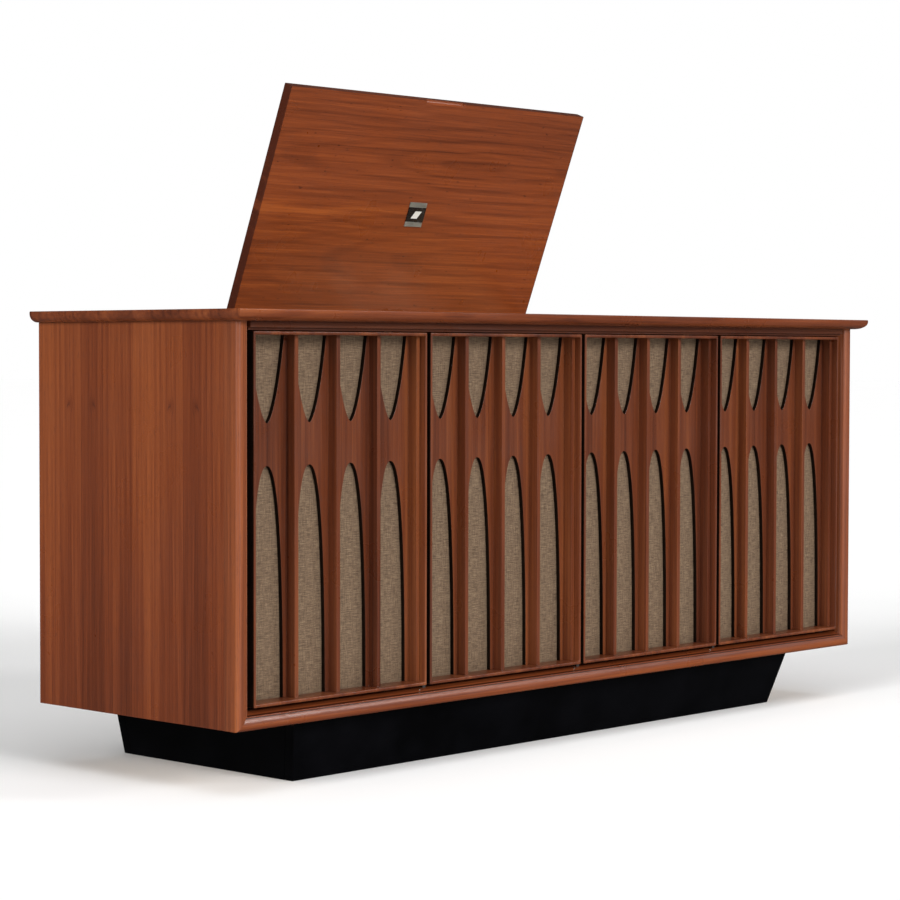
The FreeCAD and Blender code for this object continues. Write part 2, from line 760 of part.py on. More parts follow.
def make_changer_base():
    """Pressed base plate with the arm rest, bearing boss and support arm post."""
    plate = block("base_plate", (DECK_LEFT + " + 6", "panel_front", "deck_top"), ("366", "342", "4"))
    well = rod("platter_dish", "platter + 4", "10", ("spindle_across", "spindle_back", "deck_top + 2"))
    boss = rod("bearing_boss", "14", "12", ("spindle_across", "spindle_back", "deck_top + 2"))
    post = rod("rest_post", "4", "arm_level - 7 - deck_top",
               ("arm_across", "arm_back - arm_rest", "deck_top"))
    fork = block("rest_fork", ("arm_across - 10", "arm_back - arm_rest - 4", "arm_level - 7.3"),
                 ("20", "8", "3"))
    socket = rod("arm_socket", "16", "14", ("arm_across", "arm_back", "deck_top + 2"))
    column = rod("support_column", "7", "52", ("support_across", "support_back", "deck_top + 2"))
    dished = cut("base_dished", plate, well)
    keep("changer_baseplate", fuse("changer_baseplate", dished, boss, post, fork, socket, column))


def make_platter():
    platter = turned("platter", [
        ("spindle + pin_play", "0"),
        ("spindle + 8", "0"),
        ("spindle + 8", "6"),
        ("platter - 5", "6"),
        ("platter - 5", "-6"),
        ("platter", "-6"),
        ("platter", "8"),
        ("platter - 1.5", "10"),
        ("spindle + pin_play", "10"),
    ])
    keep("platter", place(platter, ("spindle_across", "spindle_back", "platter_low")))
    mat = turned("platter_mat", [
        ("spindle + 3", "10"),
        ("platter - 6", "10"),
        ("platter - 6", "12.4"),
        ("platter - 9", "13"),
        ("spindle + 3", "13"),
    ])
    keep("platter_mat", place(mat, ("spindle_across", "spindle_back", "platter_low")))
    spindle = turned("changer_spindle", [
        ("0", "0"),
        ("spindle", "0"),
        ("spindle", "34"),
        ("spindle - 0.8", "36"),
        ("spindle - 0.8", "42"),
        ("spindle - 2.5", "44"),
        ("0", "44"),
    ])
    keep("changer_spindle", place(spindle, ("spindle_across", "spindle_back", "deck_top + 14")))


def make_tonearm():
    """Turret that turns on the base, and the arm that tilts between its ears."""
    low = "deck_top + 16.3"
    disc = rod("turret_disc", "15", "6", ("arm_across", "arm_back", low))
    ears = [block("turret_ear", ("arm_across " + offset, "arm_back - 7", low + " + 6"),
                  ("3", "14", "arm_level + 8 - (" + low + " + 6)")) for offset in ("- 12", "+ 9")]
    bores = rod("turret_bores", "2 + pin_play", "40", ("arm_across - 20", "arm_back", "arm_level"), ALONG_X)
    keep("tonearm_turret", cut("tonearm_turret", fuse("turret_solid", disc, *ears), bores))
    tube = block("arm_tube", ("arm_across - 5", "arm_back - arm_length + 26", "arm_level - 4"),
                 ("10", "arm_length + 4", "9"))
    tail = block("arm_tail", ("arm_across - 7", "arm_back + 12", "arm_level - 6"), ("14", "22", "12"))
    head = block("arm_head", ("arm_across - 9", "arm_back - arm_length - 12", "arm_level - 5"),
                 ("18", "44", "10"))
    pivot = rod("arm_pivot", "2", "22", ("arm_across - 11", "arm_back", "arm_level"), ALONG_X)
    shell = block("cartridge", ("arm_across - 6", "arm_back - arm_length - 8", "arm_level - 9"),
                  ("12", "22", "4.2"))
    needle = taper("stylus", "0.3", "1.2", "3", ("arm_across", "arm_back - arm_length", "arm_level - 12"))
    keep("tonearm", fuse("tonearm", tube, tail, head, pivot, shell, needle))


def make_support_arm():
    """Arm that swings over the record stack to hold it level."""
    level = "deck_top + 54.3"
    hub = rod("support_hub", "8", "16", ("support_across", "support_back", level))
    beam = block("support_beam", ("support_across", "support_back - 5", level + " + 8"), ("192", "10", "8"))
    tip = rod("support_tip", "11", "8", ("support_across + 198", "support_back", level + " + 8"))
    keep("record_support_arm", fuse("record_support_arm", hub, beam, tip))


def make_changer_lever():
    """Start and reject lever beside the arm's rest."""
    level = "deck_top + 4.3"
    hub = rod("lever_hub", "9", "5", ("lever_across", "lever_back", level))
    blade = block("lever_blade", ("lever_across - 4", "lever_back - 26", level), ("8", "26", "5"))
    grip = rod("lever_grip", "6", "9", ("lever_across", "lever_back - 24", level))
    keep("changer_lever", fuse("changer_lever", hub, blade, grip))


def make_drive_motor():
    """Four-pole motor that hangs under the base plate inside the deck's cut-out."""
    under = "deck_top - deck_thick"
    frame = block("motor_frame", ("spindle_across - 35", "spindle_back - 35", under + " - 50"),
                  ("70", "70", "50"))
    legs = [rod("motor_leg", "4", "deck_thick",
                ("spindle_across + %d" % across, "spindle_back + %d" % back, under))
            for across in (-26, 26) for back in (-26, 26)]
    keep("drive_motor", fuse("drive_motor", frame, *legs))


# ---------------------------------------------------------------- lid and hinges

def make_lid():
    """The lid is drawn closed, flush with the slab, then swung open."""
    board = block("lid_board", (LID_LEFT, HINGE_Y + " - lid_length", TOP),
                  ("lid_width", "lid_length", "slab_thick"))
    scoop = rod("lid_scoop", "scoop_depth", "scoop_width",
                ("lid_centre - scoop_width / 2", HINGE_Y + " - lid_length", TOP), ALONG_X)
    opened("lid_panel", cut("lid_closed", board, scoop))
    badge_middle = HINGE_Y + " - badge_drop"
    plaque = block("badge_plate", ("lid_centre - badge_width / 2", badge_middle + " - 22", TOP + " - 1.2"),
                   ("badge_width", "44", "1.2"))
    centre = block("badge_centre", ("lid_centre - badge_width / 2 + 2", badge_middle + " - 13", TOP + " - 2"),
                   ("badge_width - 4", "26", "0.8"))
    opened("lid_badge", fuse("badge_closed", plaque, centre))


HINGES = ("- 270", "+ 210")
KNUCKLE_LENGTH = 11.7
KNUCKLE_STEP = 12


def hinge_leaf(name, at, rows, side):
    """One leaf: its plate lies on the wood, and tabs reach under its own knuckles."""
    start = "lid_centre %s" % at
    plate_low = HINGE_Y + (" + 4.2" if side > 0 else " - 23.2")
    tab_low = HINGE_Y + (" + 1" if side > 0 else " - 4.6")
    length = "%.1f" % KNUCKLE_LENGTH
    solids = [block(name + "_plate", (start, plate_low, SLAB_TOP), ("60", "19", "leaf_thick"))]
    for row in rows:
        low = start + " + %.2f" % (row * KNUCKLE_STEP)
        solids.append(block(name + "_tab", (low, tab_low, SLAB_TOP), (length, "3.6", "leaf_thick")))
        solids.append(rod(name + "_knuckle", "knuckle", length, (low, HINGE_Y, HINGE_Z), ALONG_X))
    bore = rod(name + "_bore", "pin + pin_play", "80", (start + " - 10", HINGE_Y, HINGE_Z), ALONG_X)
    return cut(name, fuse(name + "_solid", *solids), bore)


def make_hinges():
    """Two butt hinges whose knuckles stand just above the slab."""
    fixed = [hinge_leaf("fixed_leaf", at, (0, 2, 4), 1) for at in HINGES]
    keep("hinge_cabinet_leaves", gather("hinge_cabinet_leaves", *fixed))
    moving = [hinge_leaf("moving_leaf", at, (1, 3), -1) for at in HINGES]
    opened("hinge_lid_leaves", gather("moving_leaves", *moving))
    pins = [rod("hinge_pin", "pin", "60", ("lid_centre %s" % at, HINGE_Y, HINGE_Z), ALONG_X)
            for at in HINGES]
    keep("hinge_pins", gather("hinge_pins", *pins))


# ---------------------------------------------------------------- build, check, write

def check_document():
    """Stop if a feature failed or a sub-part is not sound."""
    doc.recompute()
    for thing in doc.Objects:
        if "Invalid" in thing.State or "Error" in thing.State:
            raise RuntimeError("failed: " + thing.Name + " " + str(thing.State))
    for name, thing in parts.items():
        if thing.Shape.isNull() or not thing.Shape.isValid():
            raise RuntimeError("unsound: " + name)
        print("%-24s %2d solid(s) %12.0f mm3" % (name, len(thing.Shape.Solids), thing.Shape.Volume))


def write_parts():
    os.makedirs("parts", exist_ok=True)
    for name, thing in parts.items():
        thing.Shape.exportStep("parts/%s.step" % name)


make_top_slab()
make_side_panels()
make_front_frame()
make_inner_walls()
make_mullions()
make_grille_studs()
make_back_panel()
make_back_screws()
make_plinth()
make_grille_panels()
make_speakers()
make_radio_chassis()
make_amplifier_chassis()
make_motor_board()
make_control_panel()
make_knobs()
make_changer_base()
make_platter()
make_tonearm()
make_support_arm()
make_changer_lever()
make_drive_motor()
make_lid()
make_hinges()
check_document()
write_parts()
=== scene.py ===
import bmesh
import bpy
import json
import math

from mathutils import Matrix, Vector

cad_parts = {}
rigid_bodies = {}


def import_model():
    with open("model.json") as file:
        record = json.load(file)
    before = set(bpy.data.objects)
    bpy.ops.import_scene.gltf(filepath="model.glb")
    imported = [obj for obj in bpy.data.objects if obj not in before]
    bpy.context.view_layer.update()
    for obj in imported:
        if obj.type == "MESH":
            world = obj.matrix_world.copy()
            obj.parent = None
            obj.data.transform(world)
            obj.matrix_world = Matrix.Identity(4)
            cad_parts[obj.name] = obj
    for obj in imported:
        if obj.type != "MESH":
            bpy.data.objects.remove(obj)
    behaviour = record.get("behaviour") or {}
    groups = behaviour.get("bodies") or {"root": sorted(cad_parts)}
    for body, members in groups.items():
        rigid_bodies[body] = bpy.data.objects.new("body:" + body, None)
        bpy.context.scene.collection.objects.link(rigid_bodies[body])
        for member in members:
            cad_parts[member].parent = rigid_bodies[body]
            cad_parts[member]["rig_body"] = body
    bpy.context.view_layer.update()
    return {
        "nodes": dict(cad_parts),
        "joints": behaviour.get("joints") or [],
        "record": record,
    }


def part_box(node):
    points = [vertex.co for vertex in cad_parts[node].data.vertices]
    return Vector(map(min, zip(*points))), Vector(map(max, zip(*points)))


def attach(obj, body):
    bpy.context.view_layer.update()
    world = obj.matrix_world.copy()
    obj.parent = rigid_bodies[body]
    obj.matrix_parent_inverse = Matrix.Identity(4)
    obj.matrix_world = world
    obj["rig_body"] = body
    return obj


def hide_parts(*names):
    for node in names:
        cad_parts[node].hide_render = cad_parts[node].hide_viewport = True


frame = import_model()
nodes = frame["nodes"]
scene = bpy.context.scene
scene.view_settings.view_transform = "Standard"
SLOT_OF = {part["node"]: part["material_slot"] for part in frame["record"]["subparts"]}
JOINTS = {joint["name"]: joint for joint in frame["joints"]}

LID_MIDDLE, HINGE_BACK, HINGE_UP = JOINTS["lid_hinge"]["pos_m"]
LID_ANGLE = math.radians(-JOINTS["lid_hinge"]["range_deg"][0])
HINGE = Vector((0, HINGE_BACK, HINGE_UP))
LID_UP = Vector((0, -math.cos(LID_ANGLE), math.sin(LID_ANGLE)))
LID_IN = Vector((0, -math.sin(LID_ANGLE), -math.cos(LID_ANGLE)))
X_AXIS = Vector((1, 0, 0))
Y_AXIS = Vector((0, 1, 0))
Z_AXIS = Vector((0, 0, 1))
EULER = 2.718


def middle_of(node):
    """The plan centre of a node's box, to the micrometre."""
    low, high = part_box(node)
    return round((low.x + high.x) / 2, 6), round((low.y + high.y) / 2, 6)


def top_of(node):
    """The height of a node's top, to the micrometre."""
    return round(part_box(node)[1].z, 6)


# ---------------------------------------------------------------- material graphs

class Graph:
    """A material's node tree, with short calls for the nodes that are used here."""

    def __init__(self, name):
        self.material = bpy.data.materials.new(name)
        self.material.use_nodes = True
        self.tree = self.material.node_tree
        self.tree.nodes.clear()
        self.shader = self.add("ShaderNodeBsdfPrincipled")
        output = self.add("ShaderNodeOutputMaterial")
        self.tree.links.new(self.shader.outputs[0], output.inputs[0])
        self.place = self.add("ShaderNodeTexCoord").outputs["Object"]

    def add(self, kind, inputs=None, **settings):
        node = self.tree.nodes.new(kind)
        for key, setting in settings.items():
            setattr(node, key, setting)
        for key, item in (inputs or {}).items():
            self.feed(node.inputs[key], item)
        return node

    def feed(self, socket, item):
        if isinstance(item, bpy.types.NodeSocket):
            self.tree.links.new(item, socket)
        else:
            socket.default_value = item

    def calc(self, kind, first, second=0.0):
        return self.add("ShaderNodeMath", {0: first, 1: second}, operation=kind).outputs[0]

    def plus(self, first, second):
        return self.calc("ADD", first, second)

    def minus(self, first, second):
        return self.calc("SUBTRACT", first, second)

    def times(self, first, second):
        return self.calc("MULTIPLY", first, second)

    def decay(self, item):
        """Falls from 1 towards 0 as the item grows from 0."""
        return self.calc("POWER", EULER, self.times(item, -1.0))

    def along(self, axis, start=(0, 0, 0)):
        """Distance of a point from start, measured along an axis."""
        moved = self.add("ShaderNodeVectorMath", {0: self.place, 1: tuple(start)}, operation="SUBTRACT")
        dot = self.add("ShaderNodeVectorMath", {0: moved.outputs[0], 1: tuple(axis)}, operation="DOT_PRODUCT")
        return dot.outputs["Value"]

    def vector(self, across, depth, length, scales):
        """A point for a texture, stretched by a scale in each direction."""
        parts = [self.times(item, scale) for item, scale in zip((across, depth, length), scales)]
        return self.add("ShaderNodeCombineXYZ", dict(enumerate(parts))).outputs[0]

    def noise(self, point, scale=1.0, detail=2.0, rough=0.5, bend=0.0):
        return self.add("ShaderNodeTexNoise", {"Vector": point, "Scale": scale, "Detail": detail,
                                               "Roughness": rough, "Distortion": bend}).outputs[0]

    def fit(self, item, low, high, to_low=0.0, to_high=1.0, smooth=False):
        node = self.add("ShaderNodeMapRange", {0: item, 1: low, 2: high, 3: to_low, 4: to_high})
        if smooth:
            node.interpolation_type = "SMOOTHSTEP"
        return node.outputs[0]

    def ramp(self, item, stops):
        node = self.add("ShaderNodeValToRGB", {0: item})
        ramp = node.color_ramp
        while len(ramp.elements) < len(stops):
            ramp.elements.new(0.5)
        for element, (spot, colour) in zip(ramp.elements, stops):
            element.position = spot
            element.color = (*colour, 1)
        return node.outputs[0]

    def mix(self, amount, first, second, kind="MIX"):
        node = self.add("ShaderNodeMix", data_type="RGBA", blend_type=kind)
        self.feed(node.inputs[0], amount)
        self.feed(node.inputs[6], first if isinstance(first, bpy.types.NodeSocket) else (*first, 1))
        self.feed(node.inputs[7], second if isinstance(second, bpy.types.NodeSocket) else (*second, 1))
        return node.outputs[2]

    def bump(self, height, distance, strength=1.0):
        node = self.add("ShaderNodeBump", {"Height": height, "Distance": distance, "Strength": strength})
        self.feed(self.shader.inputs["Normal"], node.outputs[0])

    def finish(self, **inputs):
        """Set the shader's sockets by name, with _ for a space, and return the material."""
        for key, item in inputs.items():
            self.feed(self.shader.inputs[key.replace("_", " ")], item)
        return self.material


# ---------------------------------------------------------------- wood

DARK = (0.042, 0.0085, 0.0035)
MIDDLE = (0.150, 0.0330, 0.0095)
LIGHT = (0.290, 0.0760, 0.0190)
GLOSS = 0.30


def grain_tone(graph, across, depth, length, broad=0.42, streak=0.30, fibre=0.20):
    """Streaks along the grain, 0 for dark to 1 for light, and the finest of them for the bump."""
    wide = graph.noise(graph.vector(across, depth, length, (22, 22, 0.8)), detail=3, bend=0.2)
    mid = graph.noise(graph.vector(across, depth, length, (150, 150, 1.8)), detail=4, rough=0.65)
    fine = graph.noise(graph.vector(across, depth, length, (560, 560, 6)), detail=3, rough=0.7)
    tone = graph.fit(wide, 0.3, 0.7, 0.5 - broad / 2, 0.5 + broad / 2)
    tone = graph.plus(tone, graph.fit(mid, 0.3, 0.7, -streak / 2, streak / 2))
    tone = graph.plus(tone, graph.fit(fine, 0.3, 0.7, -fibre / 2, fibre / 2))
    return tone, fine


def pores(graph, across, depth, length):
    """Short dark dashes along the grain, 1 inside a pore."""
    spots = graph.noise(graph.vector(across, depth, length, (1500, 1500, 60)), detail=1)
    return graph.fit(spots, 0.64, 0.72)


def cathedral(graph, across, length, centre, stretch, spacing):
    """Long pointed arches of late wood round a centre; 1 on a dark line."""
    wander = graph.noise(graph.vector(across, 0.0, length, (9, 1, 2.2)), detail=3)
    first = graph.minus(across, centre[0])
    second = graph.times(graph.minus(length, centre[1]), stretch)
    reach = graph.calc("SQRT", graph.plus(graph.times(first, first),
                                        graph.times(second, second)))
    reach = graph.plus(reach, graph.times(wander, 0.045))
    wave = graph.calc("SINE", graph.times(reach, 2 * math.pi / spacing))
    return graph.fit(wave, 0.35, 1.0, smooth=True)


def lacquer(graph, tone, fine, holes, tint, gloss=GLOSS):
    """Colour, pores, sheen and bump of lacquered walnut."""
    colour = graph.ramp(tone, [(0.0, DARK), (0.5, MIDDLE), (1.0, LIGHT)])
    colour = graph.mix(1.0, colour, tint, "MULTIPLY")
    colour = graph.mix(graph.times(holes, 0.45), colour, DARK)
    cloud = graph.noise(graph.place, scale=11, detail=3)
    sheen = graph.fit(cloud, 0.3, 0.7, gloss - 0.05, gloss + 0.07)
    sheen = graph.plus(sheen, graph.times(holes, 0.15))
    graph.bump(graph.minus(graph.times(fine, 0.5), holes), 0.00012, 0.5)
    return graph.finish(Base_Color=colour, Roughness=sheen, Coat_Weight=0.12, Coat_Roughness=0.22,
                        Specular_IOR_Level=0.35)


def walnut(name, grain, tint, centre=None, shift=(0, 0, 0), painted_groove_shade=(), gloss=GLOSS, **contrast):
    """Solid or veneered walnut whose grain runs along an axis; the groove lines are (axis, place, width)
    of dark lines painted as shade in a moulding's grooves."""
    graph = Graph(name)
    side = Z_AXIS if abs(grain.z) < 0.5 else X_AXIS
    deep = grain.cross(side)
    length = graph.along(grain, shift)
    across = graph.along(side, shift)
    depth = graph.along(deep, shift)
    tone, fine = grain_tone(graph, across, depth, length, **contrast)
    if centre:
        line = cathedral(graph, depth, length, centre, 0.10, 0.016)
        tone = graph.minus(tone, graph.times(line, 0.16))
    # Painted shade: each groove line darkens the tone where shade falls in the moulding's groove.
    for axis, spot, width in painted_groove_shade:
        off = graph.calc("ABSOLUTE", graph.minus(graph.along(axis), spot))
        tone = graph.minus(tone, graph.fit(off, width, 2 * width, 0.9, 0.0))
    return lacquer(graph, tone, fine, pores(graph, across, depth, length), tint, gloss)


STRIP = 0.118
STRIP_START = -0.098
KNOT = (0.026, 0.566)
KNOT_SIZE = (0.006, 0.010)


def side_veneer(name):
    """Book-matched strips: each one mirrors the next, and every second one is darker."""
    graph = Graph(name)
    depth = graph.along(X_AXIS)
    length = graph.along(Z_AXIS)
    row = graph.along(Y_AXIS, (0, STRIP_START, 0))
    across = graph.calc("PINGPONG", row, STRIP)
    knot_across = graph.calc("DIVIDE", graph.minus(across, KNOT[0]), KNOT_SIZE[0])
    knot_along = graph.calc("DIVIDE", graph.minus(length, KNOT[1]), KNOT_SIZE[1])
    reach = graph.plus(graph.times(knot_across, knot_across),
                      graph.times(knot_along, knot_along))
    knot = graph.decay(reach)
    bent = graph.plus(across, graph.times(knot, 0.007))
    tone, fine = grain_tone(graph, bent, 0.0, length, broad=0.26, streak=0.34, fibre=0.26)
    strip = graph.calc("FLOOR", graph.calc("DIVIDE", row, STRIP))
    odd = graph.calc("ABSOLUTE", graph.calc("MODULO", strip, 2.0))
    tone = graph.plus(tone, graph.fit(odd, 0.0, 1.0, 0.07, -0.07))
    tone = graph.minus(tone, graph.times(knot, 0.18))
    # Painted light: the side panels grow lighter towards the top and darker towards the bottom.
    tone = graph.plus(tone, graph.fit(length, 0.10, 0.69, -0.11, 0.12))
    seam = graph.calc("ABSOLUTE", graph.minus(across, STRIP / 2))
    tone = graph.minus(tone, graph.fit(seam, STRIP / 2 - 0.0012, STRIP / 2, 0.0, 0.12))
    return lacquer(graph, tone, fine, pores(graph, bent, depth, length), (0.93, 0.93, 0.97))


LID_HALF = 0.362


def lid_veneer(name):
    """Crown-cut veneer, grain from side to side, with one light streak at mid height."""
    graph = Graph(name)
    length = graph.along(X_AXIS, (LID_MIDDLE - LID_HALF, 0, 0))
    across = graph.along(LID_UP, HINGE)
    depth = graph.along(LID_IN, HINGE)
    tone, fine = grain_tone(graph, across, depth, length, broad=0.16, streak=0.16, fibre=0.30)
    for centre, spacing in (((0.285, 0.46), 0.020), ((0.105, 0.62), 0.022)):
        line = cathedral(graph, across, length, centre, 0.11, spacing)
        tone = graph.minus(tone, graph.times(line, 0.09))
    wander = graph.noise(graph.vector(across, 0.0, length, (3, 1, 3)), detail=2)
    middle = graph.fit(wander, 0.3, 0.7, 0.182, 0.210)
    middle = graph.plus(middle, graph.times(length, -0.010))
    off = graph.calc("DIVIDE", graph.minus(across, middle), 0.010)
    streak = graph.decay(graph.times(off, off))
    fade = graph.fit(length, 0.0, 0.45, 0.30, 0.08)
    tone = graph.plus(tone, graph.times(streak, fade))
    tone = graph.minus(tone, graph.fit(across, 0.25, 0.39, 0.0, 0.12))
    fleck = graph.noise(graph.vector(across, 0.0, length, (170, 1, 60)), detail=1)
    tone = graph.minus(tone, graph.fit(fleck, 0.70, 0.76, 0.0, 0.25))
    ends = graph.calc("ABSOLUTE", graph.minus(length, LID_HALF))
    tone = graph.minus(tone, graph.fit(ends, LID_HALF - 0.002, LID_HALF - 0.0005, 0.0, 0.50))
    tone = graph.minus(tone, graph.fit(across, 0.3930, 0.3938, 0.0, 0.35))
    return lacquer(graph, tone, fine, pores(graph, across, depth, length), (1.42, 1.38, 1.05))


# ---------------------------------------------------------------- other materials

WARP = 0.00155
WEFT = 0.00140


def tweed(name):
    """Woven grille cloth: two thread directions, uneven yarn, and lighter and darker flecks."""
    graph = Graph(name)
    across = graph.along(X_AXIS)
    up = graph.along(Z_AXIS)
    warp = graph.calc("SINE", graph.times(across, 2 * math.pi / WARP))
    weft = graph.calc("SINE", graph.times(up, 2 * math.pi / WEFT))
    weave = graph.times(warp, weft)
    slub = graph.noise(graph.vector(across, 0.0, up, (60, 1, 640)), detail=3, rough=0.75)
    rows = graph.noise(graph.vector(across, 0.0, up, (420, 1, 60)), detail=2)
    fleck = graph.noise(graph.vector(across, 0.0, up, (760, 1, 700)), detail=1)
    tone = graph.fit(slub, 0.3, 0.7, 0.15, 0.85)
    tone = graph.plus(tone, graph.fit(rows, 0.3, 0.7, -0.14, 0.14))
    tone = graph.plus(tone, graph.times(weave, 0.12))
    colour = graph.ramp(tone, [(0.0, (0.040, 0.025, 0.016)), (0.45, (0.135, 0.088, 0.056)),
                               (0.8, (0.215, 0.148, 0.092)), (1.0, (0.32, 0.24, 0.15))])
    colour = graph.mix(graph.fit(fleck, 0.60, 0.70, 0.0, 0.45), colour, (0.23, 0.135, 0.050))
    colour = graph.mix(graph.fit(fleck, 0.40, 0.30, 0.0, 0.50), colour, (0.035, 0.021, 0.013))
    graph.bump(graph.plus(weave, graph.times(slub, 1.4)), 0.0003, 0.6)
    return graph.finish(Base_Color=colour, Roughness=0.9, Specular_IOR_Level=0.2)


def paint(name, base, other, rough, scale=40.0, coat=0.0, shine=0.5):
    """An even finish with slight blotches, specks and orange peel."""
    graph = Graph(name)
    blotch = graph.noise(graph.place, scale=scale, detail=4, rough=0.6)
    speck = graph.noise(graph.place, scale=scale * 22, detail=1)
    colour = graph.mix(graph.fit(blotch, 0.35, 0.65), base, other)
    colour = graph.mix(graph.fit(speck, 0.66, 0.74, 0.0, 0.35), colour, other)
    sheen = graph.fit(blotch, 0.3, 0.7, rough - 0.04, rough + 0.06)
    graph.bump(speck, 0.00005, 0.4)
    return graph.finish(Base_Color=colour, Roughness=sheen, Coat_Weight=coat, Coat_Roughness=0.12,
                        Specular_IOR_Level=shine)


def brushed(name, base, rough):
    """Metal with fine brush lines that run from side to side."""
    graph = Graph(name)
    point = graph.vector(graph.along(Y_AXIS), graph.along(Z_AXIS), graph.along(X_AXIS),
                         (1400, 1400, 12))
    lay = graph.noise(point, detail=2)
    smear = graph.noise(graph.place, scale=18, detail=3)
    colour = graph.mix(graph.fit(lay, 0.35, 0.65, 0.0, 0.35), base, tuple(0.72 * part for part in base))
    sheen = graph.fit(smear, 0.3, 0.7, rough - 0.05, rough + 0.08)
    graph.bump(lay, 0.00003, 0.4)
    return graph.finish(Base_Color=colour, Roughness=sheen, Metallic=1.0)


def chipboard(name, base, other):
    """Pressed wood chips under a thin stain."""
    graph = Graph(name)
    cells = graph.add("ShaderNodeTexVoronoi", {"Vector": graph.place, "Scale": 170.0})
    shade = graph.fit(cells.outputs["Color"], 0.1, 0.9)
    fibre = graph.noise(graph.place, scale=420, detail=3)
    colour = graph.mix(shade, base, other)
    colour = graph.mix(graph.fit(fibre, 0.55, 0.75, 0.0, 0.4), colour, tuple(0.5 * part for part in base))
    graph.bump(graph.plus(shade, fibre), 0.0002, 0.5)
    return graph.finish(Base_Color=colour, Roughness=0.78)


def clear_glass(name):
    graph = Graph(name)
    smear = graph.noise(graph.place, scale=30, detail=3)
    return graph.finish(Base_Color=(0.95, 0.98, 0.96, 1), Roughness=graph.fit(smear, 0.3, 0.7, 0.02, 0.10),
                        Transmission_Weight=0.95, IOR=1.45)


def floor_paper(name):
    graph = Graph(name)
    cloud = graph.noise(graph.place, scale=2.0, detail=3)
    colour = graph.mix(graph.fit(cloud, 0.3, 0.7), (0.95, 0.95, 0.95), (0.965, 0.965, 0.962))
    return graph.finish(Base_Color=colour, Roughness=0.75)


PANELS = range(1, 5)

materials = {
    "walnut": walnut("top_walnut", X_AXIS, (1.00, 1.05, 1.12), centre=(-0.02, 0.1)),
    "side_walnut": side_veneer("side_walnut"),
    "walnut_frame": walnut("post_walnut", Z_AXIS, (1.25, 1.35, 1.20), shift=(0.3, 0.1, 0), gloss=0.42,
                           broad=0.25, streak=0.45),
    # The two lines on the bottom rail are painted shade in the groove between the nose and the bead.
    "rail_walnut": walnut("rail_walnut", X_AXIS, (0.88, 0.88, 0.86), broad=0.30, streak=0.50,
                          painted_groove_shade=((Z_AXIS, 0.1160, 0.0005), (Z_AXIS, 0.1195, 0.0005))),
    # A darkened walnut for the top front rail: painted shade under the slab's overhang.
    "top_rail_walnut_painted_shade": walnut("top_rail_walnut_painted_shade", X_AXIS, (0.42, 0.46, 0.60), broad=0.30, streak=0.40),
    "walnut_lid": lid_veneer("lid_walnut"),
    "inner_board": chipboard("inner_board", (0.42, 0.27, 0.15), (0.60, 0.43, 0.26)),
    # Black paint on the speaker baffles, and painted shade on the front mullions between the panels.
    "baffle_black_and_gap_shade": paint("baffle_black_and_gap_shade", (0.012, 0.011, 0.010), (0.03, 0.027, 0.025), 0.7),
    "hardboard": chipboard("hardboard", (0.13, 0.070, 0.038), (0.20, 0.115, 0.062)),
    "black_plinth": paint("plinth_black", (0.0008, 0.0008, 0.0011), (0.0020, 0.0020, 0.0028), 0.34, scale=9,
                          shine=0.06),
    "grille_cloth": tweed("grille_tweed"),
    "deck_paint": paint("deck_paint", (0.040, 0.027, 0.020), (0.055, 0.040, 0.030), 0.5),
    "panel_metal": brushed("panel_metal", (0.62, 0.52, 0.36), 0.34),
    "changer_paint": paint("changer_paint", (0.30, 0.26, 0.19), (0.42, 0.37, 0.28), 0.35, scale=220,
                           coat=0.3),
    "platter_metal": brushed("platter_metal", (0.60, 0.59, 0.56), 0.30),
    "mat_rubber": paint("mat_rubber", (0.018, 0.016, 0.015), (0.035, 0.032, 0.030), 0.62),
    "arm_plastic": paint("arm_plastic", (0.60, 0.55, 0.43), (0.66, 0.61, 0.50), 0.28, coat=0.4),
    "bright_steel": brushed("bright_steel", (0.78, 0.78, 0.77), 0.16),
    "stud_steel": brushed("stud_steel", (0.80, 0.76, 0.68), 0.18),
    "knob_plastic": paint("knob_plastic", (0.016, 0.010, 0.007), (0.026, 0.016, 0.011), 0.24, coat=0.5),
    "dial_glass": clear_glass("dial_glass"),
    "dial_print": paint("dial_black", (0.008, 0.008, 0.008), (0.014, 0.013, 0.012), 0.4),
    "pointer_red": paint("pointer_red", (0.55, 0.030, 0.012), (0.62, 0.045, 0.02), 0.3, coat=0.4),
    "speaker_paint": paint("speaker_paint", (0.012, 0.012, 0.012), (0.035, 0.033, 0.03), 0.8),
    "chassis_steel": brushed("chassis_steel", (0.46, 0.45, 0.40), 0.42),
    "brass": brushed("brass", (0.62, 0.42, 0.17), 0.28),
    "silver_badge": brushed("silver_badge", (0.27, 0.255, 0.215), 0.34),
    "black_rubber": paint("black_rubber", (0.012, 0.012, 0.012), (0.024, 0.024, 0.024), 0.6),
}
fret_woods = [walnut("fret_walnut_%d" % number, Z_AXIS, (0.74, 0.82, 1.00),
                     shift=(0.37 * number, 0.2 * number, 0.5), broad=0.45, streak=0.42)
              for number in PANELS]
# Black for the fret's cut walls, and painted shade on the grille frames' outer side walls.
edge_black_and_flank_shade = paint("fret_edge_black", (0.008, 0.004, 0.002), (0.014, 0.007, 0.004), 0.6, shine=0.1)
badge_black = paint("badge_black", (0.005, 0.005, 0.005), (0.009, 0.009, 0.009), 0.25, coat=0.6)
badge_light = paint("badge_light", (0.62, 0.60, 0.54), (0.70, 0.68, 0.62), 0.35)
print_white = paint("print_white", (0.80, 0.76, 0.62), (0.70, 0.66, 0.54), 0.5)

